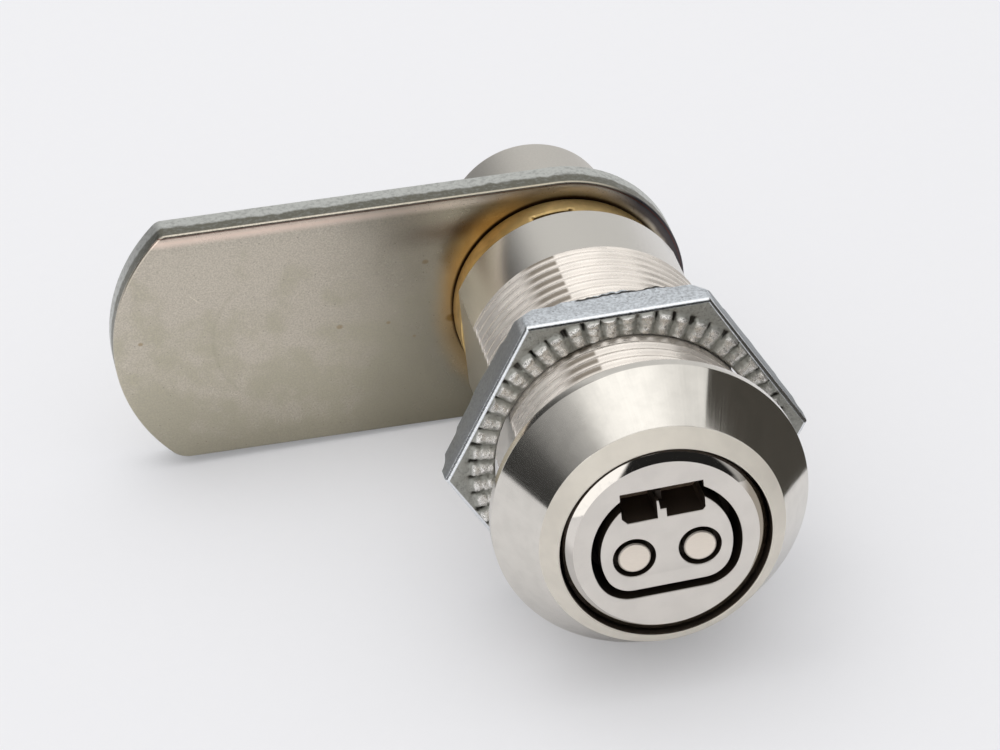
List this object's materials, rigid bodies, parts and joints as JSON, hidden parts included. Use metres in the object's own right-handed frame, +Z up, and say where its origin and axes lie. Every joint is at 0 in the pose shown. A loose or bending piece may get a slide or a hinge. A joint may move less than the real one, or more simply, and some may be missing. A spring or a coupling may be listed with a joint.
{
  "type": "cam lock",
  "caption": "Panel cam lock with a conical head, U-shaped key groove, threaded double-D body, serrated hex nut, brass drive collar and a long flat cam.",
  "frame": {"origin": "on the lock's axis, in the plane of the seat behind the flange", "axes": "+Y rearwards along the lock's axis, +Z up through the key slot, +X to the right seen from the key side"},
  "size_m": [0.0472, 0.0483, 0.0234],
  "materials": {
    "satin_nickel": "satin nickel plate",
    "plug_nickel": "satin nickel plate, bright edge",
    "hard_pin": "ground hard steel",
    "blue_zinc": "clear blue zinc plate, mottled",
    "cam_zinc": "matt zinc plate, beige, mottled",
    "brass": "satin brass",
    "bare_steel": "bare steel",
    "spring_steel": "spring steel"
  },
  "bodies": {
    "body": {"housing": "satin_nickel", "stator": "brass", "stator_pin": "bare_steel", "tumbler_spring_1": "spring_steel", "tumbler_spring_2": "spring_steel", "tumbler_spring_3": "spring_steel", "tumbler_spring_4": "spring_steel", "tumbler_spring_5": "spring_steel", "tumbler_spring_6": "spring_steel"},
    "turning_group": {"rotor": "plug_nickel", "face_pin_left": "hard_pin", "face_pin_right": "hard_pin", "drive_collar": "brass", "cam": "cam_zinc", "flat_washer": "blue_zinc", "lock_washer": "spring_steel", "cap_nut": "satin_nickel"},
    "nut": {"lock_nut": "blue_zinc"},
    "tumbler_1": {"tumbler_pin_1": "brass"},
    "tumbler_2": {"tumbler_pin_2": "brass"},
    "tumbler_3": {"tumbler_pin_3": "brass"},
    "tumbler_4": {"tumbler_pin_4": "brass"},
    "tumbler_5": {"tumbler_pin_5": "brass"},
    "tumbler_6": {"tumbler_pin_6": "brass"},
    "driver_1": {"driver_pin_1": "bare_steel"},
    "driver_2": {"driver_pin_2": "bare_steel"},
    "driver_3": {"driver_pin_3": "bare_steel"},
    "driver_4": {"driver_pin_4": "bare_steel"},
    "driver_5": {"driver_pin_5": "bare_steel"},
    "driver_6": {"driver_pin_6": "bare_steel"}
  },
  "joints": [
    {"name": "cam_turn", "type": "hinge", "parent": "body", "child": "turning_group", "pos_m": [0, 0, 0], "axis": [0, 1, 0], "range_deg": [0, 90]},
    {"name": "nut_travel", "type": "slide", "parent": "body", "child": "nut", "axis": [0, 1, 0], "range_m": [-0.006, 0.0107]},
    {"name": "tumbler_slide_1", "type": "slide", "parent": "turning_group", "child": "tumbler_1", "axis": [0, 1, 0], "range_m": [-0.00078, 0], "stiffness_N_per_m": 20},
    {"name": "tumbler_slide_2", "type": "slide", "parent": "turning_group", "child": "tumbler_2", "axis": [0, 1, 0], "range_m": [-0.00158, 0], "stiffness_N_per_m": 20},
    {"name": "tumbler_slide_3", "type": "slide", "parent": "turning_group", "child": "tumbler_3", "axis": [0, 1, 0], "range_m": [-0.00118, 0], "stiffness_N_per_m": 20},
    {"name": "tumbler_slide_4", "type": "slide", "parent": "turning_group", "child": "tumbler_4", "axis": [0, 1, 0], "range_m": [-0.00198, 0], "stiffness_N_per_m": 20},
    {"name": "tumbler_slide_5", "type": "slide", "parent": "turning_group", "child": "tumbler_5", "axis": [0, 1, 0], "range_m": [-0.00158, 0], "stiffness_N_per_m": 20},
    {"name": "tumbler_slide_6", "type": "slide", "parent": "turning_group", "child": "tumbler_6", "axis": [0, 1, 0], "range_m": [-0.00078, 0], "stiffness_N_per_m": 20},
    {"name": "driver_slide_1", "type": "slide", "parent": "body", "child": "driver_1", "axis": [0, 1, 0], "range_m": [-0.00078, 0], "stiffness_N_per_m": 20},
    {"name": "driver_slide_2", "type": "slide", "parent": "body", "child": "driver_2", "axis": [0, 1, 0], "range_m": [-0.00158, 0], "stiffness_N_per_m": 20},
    {"name": "driver_slide_3", "type": "slide", "parent": "body", "child": "driver_3", "axis": [0, 1, 0], "range_m": [-0.00118, 0], "stiffness_N_per_m": 20},
    {"name": "driver_slide_4", "type": "slide", "parent": "body", "child": "driver_4", "axis": [0, 1, 0], "range_m": [-0.00198, 0], "stiffness_N_per_m": 20},
    {"name": "driver_slide_5", "type": "slide", "parent": "body", "child": "driver_5", "axis": [0, 1, 0], "range_m": [-0.00158, 0], "stiffness_N_per_m": 20},
    {"name": "driver_slide_6", "type": "slide", "parent": "body", "child": "driver_6", "axis": [0, 1, 0], "range_m": [-0.00078, 0], "stiffness_N_per_m": 20}
  ],
  "couplings": [
    {"joint": "driver_slide_1", "follows": "tumbler_slide_1", "ratio": 1},
    {"joint": "driver_slide_2", "follows": "tumbler_slide_2", "ratio": 1},
    {"joint": "driver_slide_3", "follows": "tumbler_slide_3", "ratio": 1},
    {"joint": "driver_slide_4", "follows": "tumbler_slide_4", "ratio": 1},
    {"joint": "driver_slide_5", "follows": "tumbler_slide_5", "ratio": 1},
    {"joint": "driver_slide_6", "follows": "tumbler_slide_6", "ratio": 1}
  ]
}
